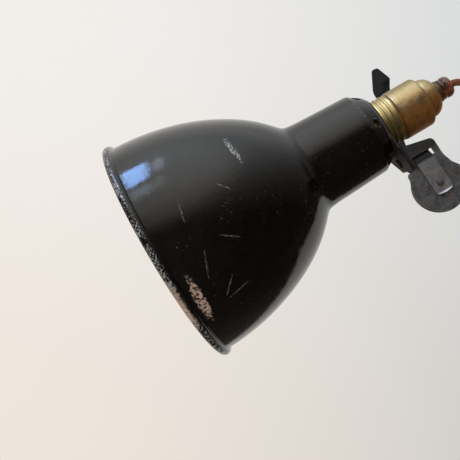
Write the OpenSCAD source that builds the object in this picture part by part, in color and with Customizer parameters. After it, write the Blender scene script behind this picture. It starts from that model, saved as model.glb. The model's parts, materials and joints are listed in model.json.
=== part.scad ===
// Clip-on reading lamp: a spun shade on a brass bayonet lampholder, carried by a
// sprung sheet-steel clip, with a fabric-covered cord and a two-pin plug.
//
// Lamp space: the lamp's axis is X, from the shade's rim (x = 0) to the cord grip, +Z is up
// and -Y is the clip's near side. place() pitches it and puts the grip's centre at the origin.
// Millimetres throughout.

/* [Stance] */
// Pitch of the lamp's axis above the horizontal, degrees
pitch = 32; // [0:1:60]

/* [Shade] */
// Radius of the shade's wall at the rim
rim_r = 74.6; // [60:0.5:90]
// Length over which the bowl would close to a point
bowl_len = 112; // [100:1:125]
// Exponent of the bowl's curve
bowl_power = 1.85; // [1.5:0.05:2.4]
// Radius of the neck where it leaves the bowl
neck_r = 30.2; // [26:0.1:34]
// Radius of the neck at its rear end
neck_end_r = 27.4; // [24:0.1:29]
// Rear end of the neck, where the sloping shoulder starts
neck_end_x = 147.5; // [140:0.5:150]
// Radius of the flat top
top_r = 21.8; // [19:0.1:23]
// Wall of the spun metal
shade_wall = 1; // [0.8:0.1:1.4]
// Radius of the rolled rim
bead_r = 3; // [2:0.1:4]
// Vent holes round the shoulder
vents = 6; // [3:1:8]
// Radius of a vent hole
vent_r = 2.8; // [1:0.05:3]

/* [Lampholder] */
// Radius of the threaded barrel
barrel_r = 14; // [13.5:0.1:14.2]
// Radius of the barrel's bore
barrel_bore_r = 11.6; // [11.3:0.1:12]
// Radius of the brass cover
cover_r = 16.7; // [16.2:0.1:17.2]
// Radius of a contact plunger
plunger_r = 2; // [1.6:0.1:2.2]
// Distance of each plunger from the axis
plunger_offset = 6.4; // [6:0.1:7]
// Radius of the cord grip
grip_r = 7.1; // [6.6:0.1:8]

/* [Bulb] */
// Largest radius of the glass
bulb_r = 30; // [20:1:32]
// Length of the glass in front of the cap
bulb_len = 80; // [70:1:90]

/* [Clip] */
// Thickness of the steel plate
plate_t = 1.5; // [1.2:0.1:1.8]
// Radius of the round jaws
jaw_r = 16.6; // [15:0.1:18]
// Width of the flat spring
spring_w = 11.2; // [9:0.1:11.4]
// Thickness of the flat spring
spring_t = 0.8; // [0.5:0.1:0.9]
// Radius of the hinge pin
pin_r = 2; // [1.5:0.1:2.2]

/* [Cord and plug] */
// Radius of the fabric-covered cord
cord_r = 2.3; // [2:0.1:2.5]
// Radius of the plug's body
plug_r = 13.5; // [13:0.1:15]
// Distance between the plug's pins
plug_pitch = 19; // [18.6:0.1:19.2]

/* [Hidden] */
$fn = 96;

// Shade
bead_x = -1;
top_x = 156;
bowl_blend = 3.2;
vent_turn = 8;
shade_steps = 30;
shade_hole_r = barrel_r + 0.2;

// Lampholder, along the axis
barrel_x = 129;
barrel_end = 172;
block_x = 156.5;
plunger_tip = 147.5;
plunger_step = 160;
plunger_head = 161;
plunger_end = 163;
spring_end = 170.6;
spring_wire = 0.35;
spring_mean_r = 2.2;
spring_turns = 6;
slot_w = 3;
slot_run_x = 141;
slot_turn = 26;
bulb_pin_x = 139;
bulb_pin_r = 1.25;
cover_x = 168;
cover_end = 190.5;
cover_wall = 0.9;
dome_end = 203;
nut_end = 211.5;
cord_clear = 0.1;

// Bulb, along the axis
cap_x = 121;
cap_end = 145.5;
cap_r = 11;
glass_wall = 0.7;
glass_steps = 28;

// Clip, measured from the lamp's axis
clip_x = 165;
jaw_face = 19;
jaw_gap = 2;
jaw_drop = 55;
collar_x = top_x;
bend_r = 2.5;
pin_at = [2, -28];
rivet_drop = 54.3;
rivet_r = 1.5;
rivet_head_r = 2.3;
cheek_gap = 0.4;
cheek_t = 1.2;
cheek_in = clip_x - collar_x - plate_t;
neck_half = cheek_in - cheek_gap;
grip = [clip_x, -jaw_face + plate_t + jaw_gap / 2, -jaw_drop];
far_face = -jaw_face + plate_t + jaw_gap;
lug_in = clip_x + cheek_in;

// Cord, in the row's frame
coil_x = 34;
coil_y = 26.5;
coil_z = 15;
coil_r = 26;
coil_half_w = 8.6;
coil_half_h = 6.3;
lead_route = [[-7.8, 16.5, 60], [-2, 16.5, 63.6], [4, 16.5, 67.4], [9, 16.5, 70.5], [10.6, 16.5, 71.4],
    [12.4, 16.5, 72.2], [14.4, 16.5, 72.6], [17, 16.5, 72.6], [20.5, 16.5, 72], [24.5, 16.5, 70.6],
    [28, 16.5, 68.3], [31, 16.5, 65], [33.2, 16.5, 60.6], [34, 16.5, 55], [33.8, 17.3, 51.2],
    [33.1, 19.4, 47.9], [32.3, 22.7, 45.8], [31.9, 26.5, 45]];
tail_route = [[36.1, 26.5, -15], [35.9, 21.9, -15.9], [35.2, 18, -18.5], [34.4, 15.4, -22.4], [34, 14.5, -27],
    [34, 14.5, -31], [34, 14.5, -35]];
plug_at = [34, 14.5, -35];
sleeve_len = 14;
plug_len = 30;
plug_pin_r = 2;
plug_pin_len = 19;
plug_shank = 8;

// Frame
module place() {
    rotate([0, -pitch, 0]) translate(-grip) children();
}

// Points are [x, radius], spun about the lamp's axis.
module lathe(points) {
    rotate([0, 90, 0]) rotate_extrude() polygon([for (p = points) [p[1], p[0]]]);
}

module along_x(x, length, radius) {
    translate([x, 0, 0]) rotate([0, 90, 0]) cylinder(r = radius, h = length);
}

// An outline in the YZ plane, as thick as length along X.
module plate_x(x, length) {
    translate([x, 0, 0]) rotate([90, 0, 90]) linear_extrude(length) children();
}

// An outline in the XZ plane, from y to y + length.
module plate_y(y, length) {
    translate([0, y + length, 0]) rotate([90, 0, 0]) linear_extrude(length) children();
}

module across_y(x, y, z, length, radius) {
    translate([x, y + length, z]) rotate([90, 0, 0]) cylinder(r = radius, h = length, $fn = 48);
}

// Curves
function unit(v) = v / norm(v);

function wrap_turn(angle) = angle > 180 ? angle - 360 : angle < -180 ? angle + 360 : angle;

// Round the corner q between p and s with radius r.
function corner(p, q, s, r, steps) =
    let (a = unit(p - q), b = unit(s - q), half = acos(a * b) / 2,
        centre = q + unit(a + b) * r / sin(half),
        from = q + a * r / tan(half) - centre, to = q + b * r / tan(half) - centre,
        start = atan2(from[1], from[0]), sweep = wrap_turn(atan2(to[1], to[0]) - start))
    [for (i = [0:steps]) centre + r * [cos(start + sweep * i / steps), sin(start + sweep * i / steps)]];

// Knots are [y, z, radius]; the ends stay sharp.
function rounded_path(knots, steps = 6) = let (n = len(knots), at = [for (k = knots) [k[0], k[1]]])
    [at[0], for (i = [1:n - 2]) each corner(at[i - 1], at[i], at[i + 1], knots[i][2], steps), at[n - 1]];

function rounded_outline(knots, steps = 6) = let (n = len(knots), at = [for (k = knots) [k[0], k[1]]])
    [for (i = [0:n - 1]) each knots[i][2] > 0
        ? corner(at[(i + n - 1) % n], at[i], at[(i + 1) % n], knots[i][2], steps) : [at[i]]];

function path_normal(path, i) = let (n = len(path),
        before = unit(path[min(i, n - 2) + 1] - path[min(i, n - 2)]),
        after = unit(path[max(i, 1)] - path[max(i, 1) - 1]), mean = unit(before + after))
    [-mean[1], mean[0]] / (mean * after);

// A strip of sheet metal seen edge on.
module strip(path, thickness) {
    n = len(path);
    polygon([for (i = [0:n - 1]) path[i] + path_normal(path, i) * thickness / 2,
        for (i = [n - 1:-1:0]) path[i] - path_normal(path, i) * thickness / 2]);
}

// A tube swept along a route of 3D points.
function route_way(route, i) = let (n = len(route))
    unit(route[min(i + 1, n - 1)] - route[max(i - 1, 0)]);

module tube(route, radius, sides) {
    n = len(route);
    rings = [for (i = [0:n - 1])
        let (way = route_way(route, i), ref = abs(way[0]) > 0.9 ? [0, 1, 0] : [1, 0, 0],
            u = unit(cross(way, ref)), v = cross(way, u))
        for (k = [0:sides - 1]) let (turn = 360 * k / sides)
            route[i] + radius * (u * cos(turn) + v * sin(turn))];
    faces = [[for (k = [0:sides - 1]) k],
        for (i = [0:n - 2], k = [0:sides - 1])
            each let (a = i * sides + k, b = i * sides + (k + 1) % sides)
                [[a, a + sides, b + sides], [a, b + sides, b]],
        [for (k = [sides - 1:-1:0]) (n - 1) * sides + k]];
    polyhedron(rings, faces, convexity = 4);
}

// Shade
function bowl(x) = rim_r * sqrt(max(0, 1 - pow(max(x, 0) / bowl_len, bowl_power)));

function neck(x) = neck_r + (neck_end_r - neck_r) * (x - 95) / (neck_end_x - 95);

function shade_r(x) = (bowl(x) + neck(x) + sqrt(pow(bowl(x) - neck(x), 2) + pow(bowl_blend, 2))) / 2;

function shade_inner(x) = let (slope = shade_r(x + 0.5) - shade_r(x - 0.5), long = sqrt(1 + slope * slope))
    [x + shade_wall * slope / long, shade_r(x) - shade_wall / long];

function shade_x(i) = neck_end_x * i / shade_steps;

module shade() place() color("#17181a") {
    difference() {
        union() {
            lathe(concat([for (i = [0:shade_steps]) [shade_x(i), shade_r(shade_x(i))]],
                [[top_x, top_r], [top_x, shade_hole_r], [top_x - shade_wall, shade_hole_r],
                [top_x - shade_wall, top_r - shade_wall / 2],
                [neck_end_x - shade_wall / 2, neck_end_r - shade_wall]],
                [for (i = [shade_steps - 1:-1:1]) shade_inner(shade_x(i))],
                [[0, shade_r(0) - shade_wall]]));
            rotate([0, 90, 0]) rotate_extrude() translate([rim_r, bead_x]) circle(bead_r, $fn = 32);
        }
        for (k = [0:vents - 1]) rotate([vent_turn + 360 * k / vents, 0, 0]) vent();
    }
}

// One hole, square to the sloping shoulder, on the near side.
module vent() {
    fall = atan2(top_x - neck_end_x, neck_end_r - top_r);
    translate([(neck_end_x + top_x) / 2, -(neck_end_r + top_r) / 2, 0]) rotate([0, 0, 90 - fall])
        rotate([90, 0, 0]) cylinder(r = vent_r, h = 8, center = true, $fn = 32);
}

module shade_ring_upper() place() color("#b8923f") difference() {
    lathe([[top_x + plate_t, barrel_r], [top_x + plate_t, 15.9], [158.3, 16.6], [160, 16.6], [160.5, 16],
        [161, 16], [161.4, 16.9], [162.8, 16.9], [163.2, 16.2], [164.6, 16.2], [165, 16.9], [166.6, 16.9],
        [167, 16.3],
        [cover_x, 16.3], [cover_x, barrel_r]]);
    for (k = [0:3]) rotate([45 + 90 * k, 0, 0]) translate([top_x, -0.6, 15.9]) cube([2.2, 1.2, 2]);
}

module shade_ring_lower() place() color("#a8843a") difference() {
    lathe([[149, barrel_r], [149, 18], [149.6, 18.8], [154.2, 18.8], [top_x - shade_wall, 18],
        [top_x - shade_wall, barrel_r]]);
    for (k = [0:5]) rotate([60 * k, 0, 0]) translate([148, -1, 17.6]) cube([4, 2, 3]);
}

// Lampholder
module holder_barrel() place() color("#b08b3c") difference() {
    rotate([60, 0, 0]) lathe(concat([[barrel_x, barrel_bore_r], [barrel_x, barrel_r - 0.8],
        [barrel_x + 0.8, barrel_r], [144, barrel_r]],
        [for (x = [144.8:1.6:155]) each [[x, barrel_r - 0.5], [x + 0.8, barrel_r]]],
        [[barrel_end, barrel_r], [barrel_end, barrel_bore_r]]));
    for (side = [0, 180]) rotate([side, 0, 0]) bayonet_slot();
}

// The J-shaped slot: in from the mouth, round, and back into a hook.
module bayonet_slot() {
    overrun = 7;
    hook_x = bulb_pin_x - bulb_pin_r - 0.1;
    translate([barrel_x - 1, -slot_w / 2, barrel_bore_r - 2]) cube([slot_run_x - barrel_x + 1, slot_w, 6]);
    rotate([0, 90, 0]) translate([0, 0, slot_run_x - slot_w / 2]) rotate([0, 0, 180 - overrun])
        rotate_extrude(angle = slot_turn + 2 * overrun) translate([barrel_bore_r - 2, 0]) square([6, slot_w]);
    rotate([slot_turn, 0, 0]) translate([hook_x, -slot_w / 2, barrel_bore_r - 2])
        cube([slot_run_x - hook_x, slot_w, 6]);
}

module holder_cover() place() color("#a9873f")
    lathe(concat([[cover_x, barrel_r], [cover_x, 16.1], [168.8, 16.1], [169.2, cover_r], [188, cover_r]],
        [for (a = [15:15:75]) [188 + 2.5 * sin(a), cover_r - 2.5 + 2.5 * cos(a)]],
        [[cover_end, 14.2], [cover_end, 12.4], [cover_end - cover_wall, 12.4],
        [cover_end - cover_wall, cover_r - 2.5], [187.6, cover_r - cover_wall],
        [barrel_end + 1, cover_r - cover_wall], [barrel_end, cover_r - 2], [barrel_end, barrel_r]]));

module holder_dome() place() color("#a48140")
    lathe(concat([[186, 11.5], [186, 12.4], [cover_end, 12.4], [cover_end, 12.9], [191.3, 13.2],
        [192.4, 13.2]],
        [for (a = [15:15:60]) [192.4 + 7.8 * sin(a), 5.4 + 7.8 * cos(a)]],
        [[200.1, 6.8], [dome_end, 6.8], [dome_end, 5.2], [198, 5.2], [197.6, 7.4], [192.4, 11.5]]));

module contact_block() place() color("#e8e2d2") difference() {
    lathe([[block_x, 0], [block_x, barrel_bore_r - 0.6], [block_x + 0.6, barrel_bore_r],
        [barrel_end, barrel_bore_r], [barrel_end, 10.6], [174, 10.6], [174, 0]]);
    for (side = [-1, 1]) translate([0, 0, side * plunger_offset]) {
        along_x(block_x - 1, 10, plunger_r + 0.05);
        along_x(plunger_step, 20, 3.05);
    }
    translate([block_x - 1, -barrel_r, -1.2]) cube([3, 2 * barrel_r, 2.4]);
    along_x(170, 10, 1.3);
}

module terminals() place() color("#c09a48") for (side = [-1, 1])
    translate([0, 0, side * plunger_offset]) difference() {
        union() {
            along_x(spring_end + 0.4, 3, 3.05);
            along_x(174, 7, 2.9);
        }
        across_y(178.6, -4, 0, 8, 1.1);
        along_x(178.6, 4, 1.15);
    }

module terminal_screws() place() color("#9a9a94") for (side = [-1, 1])
    translate([0, 0, side * plunger_offset]) difference() {
        union() {
            along_x(180, 1.5, 1.15);
            along_x(181, 1.6, 2.1);
        }
        translate([181.9, -3, -0.3]) cube([1, 6, 0.6]);
    }

module cord_cores() place() color("#6d3b1f") for (side = [-1, 1])
    tube([[190, 0, side * 1.15], [189, -0.1, side * 1.2], [186, -1.5, side * 2.4], [182.5, -4.6, side * 5],
        [179.6, -4.4, side * 6.3],
        [178.6, -3.6, side * plunger_offset], [178.6, -1.2, side * plunger_offset]], 0.95, 8);

module contact_plunger(side) place() color("#c8a252") translate([0, 0, side * plunger_offset]) {
    lathe([[plunger_tip, 0], [plunger_tip, plunger_r - 0.5], [plunger_tip + 0.5, plunger_r],
        [plunger_head, plunger_r], [plunger_head, 2.9], [plunger_end, 2.9], [plunger_end, 0]]);
}

// A compression spring between the plunger's head and its terminal.
module plunger_spring(side) place() color("#bfc2c4") translate([0, 0, side * plunger_offset]) {
    low = plunger_end + spring_wire + 0.05;
    high = spring_end - spring_wire + 0.3;
    tube([for (i = [0:spring_turns * 10]) let (turn = 36 * i)
        [low + (high - low) * i / (spring_turns * 10), spring_mean_r * cos(turn), spring_mean_r * sin(turn)]],
        spring_wire, 6);
}

module cord_grip_nut() place() color("#5a2a1a")
    lathe(concat([[197.8, 3.4], [197.8, 5.2], [dome_end, 5.2], [dome_end, grip_r - 0.3],
        [dome_end + 0.5, grip_r]],
        [for (a = [0:15:75]) [208 + 3.2 * sin(a), grip_r - 3.2 + 3.2 * cos(a)]],
        [[nut_end, 3.6], [nut_end, 2.9], [nut_end - 1.5, cord_r + cord_clear], [207, cord_r + cord_clear],
        [206, 3.4]]));

module grip_sleeve() place() color("#3a3a38")
    lathe([[198, cord_r], [198, 2.9], [199, 3.35], [205.6, 3.35], [206.5, 2.6], [206.5, cord_r]]);

// Bulb
function glass_r(s) = s < 0.32 ? bulb_r * sin(acos(1 - s / 0.32 * 0.9)) * 1.005
    : let (u = (s - 0.32) / 0.68) 14.6 + (bulb_r - 14.6) * (1 - u * u * (3 - 2 * u));

function glass_x(s) = cap_x + 4 - bulb_len * (1 - s);

function glass_s(i) = pow(i / glass_steps, 1.6);

module bulb_glass() place() color("#f4f0e4")
    lathe(concat([for (i = [0:glass_steps]) [glass_x(glass_s(i)), glass_r(glass_s(i))]],
        [[cap_x + 2, 14.6], [cap_x + 4.5, 11.4], [cap_x + 4.5, 10.4], [cap_x + 2.4, 13.6]],
        [for (i = [glass_steps - 1:-1:3]) [glass_x(glass_s(i)), glass_r(glass_s(i)) - glass_wall]],
        [[glass_x(0) + glass_wall, 0]]));

module bulb_cap() place() color("#c9c3b2") difference() {
    lathe([[cap_x + 4.5, 10.2], [cap_x + 4.5, cap_r - 0.2], [127, cap_r - 0.2], [128, cap_r],
        [cap_end - 1, cap_r], [cap_end, cap_r - 1], [cap_end, 9.4], [cap_end - 1, 9.4],
        [cap_end - 1.5, 10.2]]);
    rotate([slot_turn, 0, 0]) translate([bulb_pin_x, 0, -20]) cylinder(r = bulb_pin_r, h = 40, $fn = 32);
}

module bulb_pins() place() color("#c7a45c") for (side = [0, 180])
    rotate([slot_turn + side, 0, 0]) translate([bulb_pin_x, 0, 9.6])
        cylinder(r = bulb_pin_r, h = 3.8, $fn = 32);

module bulb_insulator() place() color("#1d1d22") difference() {
    lathe([[cap_end - 1, 0], [cap_end - 1, 9.4], [cap_end, 9.4], [146.4, 8.6], [146.8, 0]]);
    for (side = [-1, 1]) translate([0, 0, side * plunger_offset]) along_x(140, 10, 2.3);
}

module bulb_contacts() place() color("#b9bcc0") for (side = [-1, 1])
    translate([0, 0, side * plunger_offset])
        lathe([[cap_end - 1, 0], [cap_end - 1, 2.3], [146.6, 2.3], [147.4, 1.8], [147.4, 0]]);

module bulb_stem() place() color("#dfe8e6") lathe([[cap_x - 26, 0], [cap_x - 26, 1.8], [cap_x - 24, 2.2],
    [cap_x - 10, 2.4], [cap_x, 5], [cap_x + 3, 9.2], [cap_x + 4.5, 9.2], [cap_x + 4.5, 0]]);

module bulb_filament() place() color("#8f9296") {
    span = 13;
    rise = 40;
    tube([for (i = [0:10]) [cap_x - rise - 3 * sin(18 * i), span * cos(18 * i), 0.01]], 0.35, 6);
    for (side = [-1, 1]) tube([[cap_x - rise, side * span, 0], [cap_x - 34, side * 10, 0],
        [cap_x - 24.6, side * 2.9, 0], [cap_x - 11, side * 2.9, 0]], 0.4, 6);
}

// Clip
// The cheek: a ring under the lampholder's shade ring, widened downwards to carry the pin.
module cheek_outline() difference() {
    union() {
        circle(20);
        polygon(rounded_outline([[-jaw_face + bend_r, 0, 0], [-jaw_face + bend_r, -38.8, 0], [-12, -37.8, 0],
            [6.8, -33.6, 2.5], [20, -20.4, 3], [20, 0, 0]]));
    }
    circle(barrel_r + 0.1);
}

// The plate behind the round jaw, with its sloping top edge.
module near_neck_outline() polygon(rounded_outline([[collar_x + bend_r, -22.7, 0], [162.6, -24.4, 6],
    [176.6, -27.6, 3], [176.6, -40, 9], [180, -48, 0], [clip_x, -jaw_drop, 0], [151, -45, 0], [151, -39.4, 2],
    [collar_x + bend_r, -38.8, 0]]));

module near_jaw() place() color("#3d3f42") difference() {
    union() {
        plate_x(collar_x, plate_t) cheek_outline();
        translate([collar_x + bend_r, -jaw_face + bend_r, -38.8]) bend();
        plate_y(-jaw_face, plate_t) near_neck_outline();
        across_y(clip_x - 0.7, -jaw_face, -jaw_drop, plate_t, jaw_r);
        plate_x(lug_in, plate_t) lug_outline();
    }
    translate([clip_x - 6, -jaw_face - 1, -36.7]) cube([13.6, 4, 4.1]);
    translate([140, pin_at[0], pin_at[1]]) rotate([0, 90, 0]) cylinder(r = pin_r, h = 50, $fn = 48);
    across_y(clip_x, -jaw_face - 1, -rivet_drop, 4, rivet_r);
}

// The bend that turns the cheek into the jaw.
module bend() linear_extrude(38.8 - 22.7) difference() {
    intersection() {
        circle(bend_r);
        translate([-2 * bend_r, -2 * bend_r]) square(2 * bend_r);
    }
    circle(bend_r - plate_t);
}

module lug_outline() union() {
    translate(pin_at) circle(3.8, $fn = 48);
    polygon([[-jaw_face + plate_t, -27.7], [-jaw_face + plate_t, -31], [pin_at[0], pin_at[1] - 3.6],
        [pin_at[0] + 1, pin_at[1] + 3.4], [-8, -26.2]]);
}

// The lever jaw from the side: jaw, kink to the hinge, hook round the lampholder, finger tab.
far_mid = far_face + plate_t / 2;
far_path = rounded_path([[far_mid, -76, 0], [far_mid, -44, 6], [5, -33, 6], [22, -27.5, 8], [33, -17, 9],
    [36, 0, 20], [38, 28, 16], [50, 52, 0]]);

module far_outline() {
    translate([clip_x - 0.7, -jaw_drop]) circle(jaw_r);
    polygon(rounded_outline([[clip_x - neck_half, -50, 0], [clip_x - neck_half, -19, 6], [177.4, 25, 12],
        [177.6, 33, 12], [188.6, 51.4, 3], [192.9, 50.6, 2], [194.3, 37.5, 2.5], [188.4, 27, 12],
        [clip_x + neck_half, -15, 8], [clip_x + neck_half, -50, 0]]));
}

module far_cheek_outline() union() {
    translate(pin_at) circle(3.8, $fn = 48);
    polygon([[pin_at[0] - 3.6, pin_at[1] + 1], [-8, -38.4], [3.4, -32.9], [12, -30.2],
        [pin_at[0] + 3, pin_at[1] + 2.4]]);
}

module far_jaw() place() color("#3d3f42") difference() {
    union() {
        intersection() {
            plate_x(140, 60) strip(far_path, plate_t);
            plate_y(-30, 100) far_outline();
        }
        for (x = [clip_x - neck_half, clip_x + neck_half - cheek_t]) plate_x(x, cheek_t) far_cheek_outline();
    }
    translate([140, pin_at[0], pin_at[1]]) rotate([0, 90, 0]) cylinder(r = pin_r + 0.05, h = 50, $fn = 48);
    translate([clip_x - 6, 8.4, -40]) cube([12, 5.2, 20]);
    across_y(clip_x, -20, -rivet_drop, 10, rivet_r);
}

module hinge_pin() place() color("#55575a") translate([0, pin_at[0], pin_at[1]])
    lathe([[collar_x - 1.2, 0], [collar_x - 1.2, 2.4], [collar_x - 0.6, 3.2], [collar_x, 3.2],
        [collar_x, pin_r], [lug_in + plate_t + 1.6, pin_r], [lug_in + plate_t + 2, pin_r - 0.5],
        [lug_in + plate_t + 2, 0]]);

module pin_washer() place() color("#6b6d70") translate([0, pin_at[0], pin_at[1]]) difference() {
    along_x(lug_in + plate_t, 0.8, 3.4);
    along_x(lug_in, 4, pin_r);
}

// The flat spring from the side: near leg, through the near jaw, over the pin, through the lever, far leg.
spring_gap = 0.05;
near_leg = -jaw_face - spring_t / 2 - spring_gap;
far_leg = far_face + plate_t + spring_t / 2 + spring_gap;
spring_path = rounded_path([[near_leg, -61, 0], [near_leg, -36.4, 1.6], [-16.6, -32.8, 3],
    [-14.4, -24.9, 3.2], [9, -24.9, 3], [12, -33.2, 3], [5.4, -35.8, 6], [far_leg, -45, 5],
    [far_leg, -61, 0]]);

module clip_spring() place() color("#515356") difference() {
    plate_x(clip_x - spring_w / 2, spring_w) strip(spring_path, spring_t);
    across_y(clip_x, -jaw_face - 3, -rivet_drop, 20, rivet_r + 0.02);
}

// A round-headed rivet; its closed end points along +Y from the face at y.
module rivet(y, length) {
    translate([clip_x, y, -rivet_drop]) rotate([-90, 0, 0]) rotate_extrude()
        polygon(concat([[0, -1.4]], [for (a = [15:15:90]) [rivet_head_r * sin(a), -1.4 * cos(a)]],
            [[rivet_r, 0], [rivet_r, length], [2.2, length], [2, length + 0.5], [0, length + 0.5]]));
}

module near_rivet() place() color("#4c4e51")
    rivet(-jaw_face - spring_t - spring_gap, spring_t + spring_gap + plate_t);

module far_rivet() place() color("#4c4e51") mirror([0, 1, 0])
    rivet(-far_face - plate_t - spring_gap - spring_t, spring_t + spring_gap + plate_t);

// Cord
module cord_lead() color("#7a3f22") tube(lead_route, cord_r, 12);

module cord_coil() color("#7a3f22") translate([coil_x, coil_y, coil_z]) rotate([0, 90, 0]) rotate_extrude()
    polygon([[coil_r - coil_half_h, 3 - coil_half_w], [coil_r - coil_half_h + 3, -coil_half_w],
        [coil_r + coil_half_h - 3, -coil_half_w], [coil_r + coil_half_h, 3 - coil_half_w],
        [coil_r + coil_half_h, coil_half_w - 3], [coil_r + coil_half_h - 3, coil_half_w],
        [coil_r - coil_half_h + 3, coil_half_w], [coil_r - coil_half_h, coil_half_w - 3]]);

module cord_tail() color("#7a3f22") tube(tail_route, cord_r, 12);

// A strap round the coil's turns, at the side.
module coil_tie() color("#2c2a28") translate([coil_x, coil_y + coil_r, coil_z]) difference() {
    cube([2 * coil_half_w + 2.4, 2 * coil_half_h + 2.4, 7], center = true);
    cube([2 * coil_half_w, 2 * coil_half_h, 8], center = true);
}

// Plug, hanging with its pins down
module plug_space() {
    translate(plug_at) mirror([0, 0, 1]) children();
}

module plug_sleeve() color("#4a2618") plug_space() rotate_extrude() polygon([[cord_r, 0], [3.2, 0], [3.6, 1],
    [5, sleeve_len - 2], [5, sleeve_len + 4], [cord_r, sleeve_len + 4]]);

module plug_half(side) intersection() {
    difference() {
        translate([0, 0, sleeve_len]) rotate_extrude() polygon([[0, 0], [7.5, 0], [8.4, 1], [9.5, 6],
            [plug_r - 1, 15], [plug_r, 18], [plug_r, plug_len - 1], [plug_r - 1, plug_len], [0, plug_len]]);
        cylinder(r = 5, h = sleeve_len + 4);
        cylinder(r = 3, h = sleeve_len + 9);
        translate([-3, -7, sleeve_len + 12]) cube([6, 14, 11]);
        for (y = [-1, 1]) translate([0, y * plug_pitch / 2, sleeve_len + plug_len - plug_shank])
            cylinder(r = plug_pin_r - 0.4, h = 30, $fn = 32);
        translate([-20, 0, sleeve_len + 15]) rotate([0, 90, 0]) cylinder(r = 1.6, h = 40, $fn = 32);
        translate([plug_r - 3, 0, sleeve_len + 15]) rotate([0, 90, 0]) cylinder(r = 3, h = 10, $fn = 32);
    }
    translate([side > 0 ? 0 : -40, -20, 0]) cube([40, 40, 60]);
}

module plug_body() color("#3c2116") plug_space() plug_half(-1);

module plug_cover() color("#402317") plug_space() plug_half(1);

module plug_screw() color("#b4965a") plug_space() translate([0, 0, sleeve_len + 15])
    rotate([0, 90, 0]) difference() {
    union() {
        translate([0, 0, -8]) cylinder(r = 1.6, h = plug_r + 5.2, $fn = 32);
        translate([0, 0, plug_r - 3]) cylinder(r = 2.9, h = 1.8, $fn = 32);
    }
    translate([-3, -0.4, plug_r - 1.9]) cube([6, 0.8, 2]);
}

module plug_pins() color("#c2a45e") plug_space() for (y = [-1, 1])
    translate([0, y * plug_pitch / 2, sleeve_len + plug_len]) rotate_extrude()
        polygon([[0, -plug_shank], [plug_pin_r - 0.4, -plug_shank], [plug_pin_r - 0.4, 0], [plug_pin_r, 0],
            [plug_pin_r, plug_pin_len - 1], [plug_pin_r - 1, plug_pin_len], [0, plug_pin_len]]);

shade();
shade_ring_upper();
shade_ring_lower();
holder_barrel();
holder_cover();
holder_dome();
contact_block();
terminals();
terminal_screws();
cord_cores();
contact_plunger(1);  // contact_plunger_a
contact_plunger(-1);  // contact_plunger_b
plunger_spring(1);  // plunger_spring_a
plunger_spring(-1);  // plunger_spring_b
cord_grip_nut();
grip_sleeve();
bulb_glass();
bulb_cap();
bulb_pins();
bulb_insulator();
bulb_contacts();
bulb_stem();
bulb_filament();
near_jaw();
far_jaw();
hinge_pin();
pin_washer();
clip_spring();
near_rivet();
far_rivet();
cord_lead();
cord_coil();
cord_tail();
coil_tie();
plug_body();
plug_cover();
plug_screw();
plug_pins();
plug_sleeve();
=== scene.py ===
"""The looks of the clip-on reading lamp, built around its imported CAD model.

Lamp space, in mm: X runs along the lamp's axis from the shade's rim to the cord grip, Z is up
and -Y is the clip's near side. LAMP takes it to the row frame, in metres.
"""

import json
import math
import random

import bmesh
import bpy
import numpy as np
from mathutils import Matrix, Vector


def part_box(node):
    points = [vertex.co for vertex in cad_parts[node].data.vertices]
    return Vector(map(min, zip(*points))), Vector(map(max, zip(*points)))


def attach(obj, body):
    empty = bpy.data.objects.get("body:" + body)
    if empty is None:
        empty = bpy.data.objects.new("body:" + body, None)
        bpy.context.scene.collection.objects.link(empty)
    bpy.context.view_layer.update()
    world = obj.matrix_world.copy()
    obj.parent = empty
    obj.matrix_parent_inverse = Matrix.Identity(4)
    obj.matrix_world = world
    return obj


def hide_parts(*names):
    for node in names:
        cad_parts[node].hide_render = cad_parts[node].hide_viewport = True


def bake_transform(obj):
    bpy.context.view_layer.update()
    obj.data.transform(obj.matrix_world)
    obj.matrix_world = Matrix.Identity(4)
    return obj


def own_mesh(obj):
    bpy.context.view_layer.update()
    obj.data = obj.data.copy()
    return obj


MM = 0.001
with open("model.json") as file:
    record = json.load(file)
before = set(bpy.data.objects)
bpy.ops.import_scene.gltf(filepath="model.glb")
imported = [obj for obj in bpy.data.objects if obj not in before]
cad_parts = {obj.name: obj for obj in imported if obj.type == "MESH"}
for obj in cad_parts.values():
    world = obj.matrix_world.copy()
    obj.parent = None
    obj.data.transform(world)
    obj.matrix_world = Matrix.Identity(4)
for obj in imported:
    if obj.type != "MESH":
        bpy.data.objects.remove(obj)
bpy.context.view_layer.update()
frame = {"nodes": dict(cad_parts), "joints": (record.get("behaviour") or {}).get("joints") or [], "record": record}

# ---------------------------------------------------------------- lamp space
HINGE_AT = Vector((165, 2, -28))  # the hinge pin's middle in lamp space


def joint(name):
    return next(j for j in frame["joints"] if j["name"] == name)


def lamp_space():
    along = Vector(joint("bulb_push")["axis"]).normalized()
    up = Vector((-along.z, 0, along.x))
    turn = Matrix((along, (0, 1, 0), up)).transposed() * MM
    return Matrix.Translation(Vector(joint("clip_hinge")["pos_m"]) - turn @ HINGE_AT) @ turn.to_4x4()


LAMP = lamp_space()

# ---------------------------------------------------------------- camera
CAMERA_AT = (-0.0712, -0.4091, -0.1034)
CAMERA_HEADING = 7.90
CAMERA_TILT = 10.03
CAMERA_ROLL = 2.37
CAMERA_LENS = 52.33


def make_camera():
    data = bpy.data.cameras.new("camera")
    data.lens = CAMERA_LENS
    data.sensor_width = 36
    data.clip_start = 0.01
    cam = bpy.data.objects.new("camera", data)
    bpy.context.collection.objects.link(cam)
    cam.matrix_world = (
        Matrix.Translation(CAMERA_AT)
        @ Matrix.Rotation(math.radians(CAMERA_HEADING), 4, "Z")
        @ Matrix.Rotation(math.radians(90 + CAMERA_TILT), 4, "X")
        @ Matrix.Rotation(math.radians(CAMERA_ROLL), 4, "Z")
    )
    bpy.context.scene.camera = cam


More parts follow.
